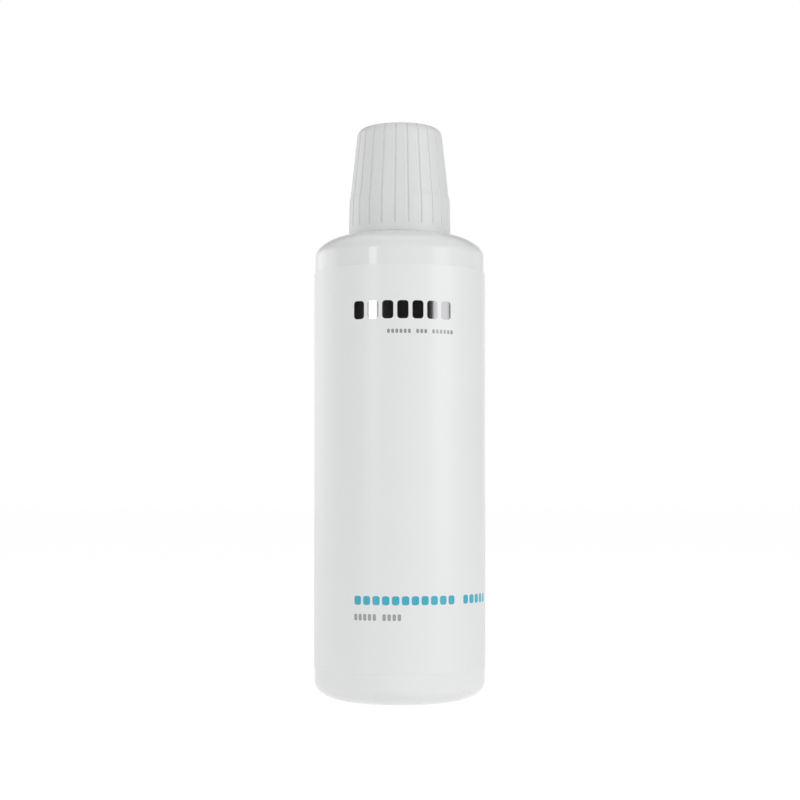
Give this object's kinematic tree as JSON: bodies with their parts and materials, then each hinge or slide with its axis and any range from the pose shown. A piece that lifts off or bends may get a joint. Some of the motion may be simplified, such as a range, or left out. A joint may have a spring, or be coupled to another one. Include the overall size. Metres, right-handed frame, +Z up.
{
  "type": "mouthwash bottle",
  "caption": "Round plastic mouthwash bottle with a wraparound label and a fluted conical screw cap that serves as the dosing cup.",
  "frame": {"origin": "middle of the base, on the plane of the standing ring", "axes": "+Z up along the bottle's axis towards the cap; the label's printed front faces -Y; +X is to the right seen from the front"},
  "size_m": [0.065, 0.065, 0.216],
  "materials": {
    "bottle_hdpe": "white blow-moulded polyethylene, glossy",
    "label_film": "white satin film",
    "liquid": "clear pale liquid",
    "seal_foam": "white foam",
    "cap_pp": "white moulded polypropylene, semi-gloss"
  },
  "bodies": {
    "bottle": {"bottle": "bottle_hdpe", "label": "label_film", "mouthwash": "liquid"},
    "seal_ring": {"seal_ring": "seal_foam"},
    "cap": {"cap": "cap_pp"}
  },
  "joints": [
    {"name": "cap_lift", "type": "slide", "parent": "bottle", "child": "seal_ring", "axis": [0, 0, 1], "range_m": [0, 0.0254]},
    {"name": "cap_turn", "type": "hinge", "parent": "seal_ring", "child": "cap", "pos_m": [0, 0, 0.1757], "axis": [0, 0, 1], "range_deg": [0, 2160]}
  ],
  "couplings": [
    {"joint": "cap_lift", "follows": "cap_turn", "m_per_rad": 0.00067375}
  ]
}
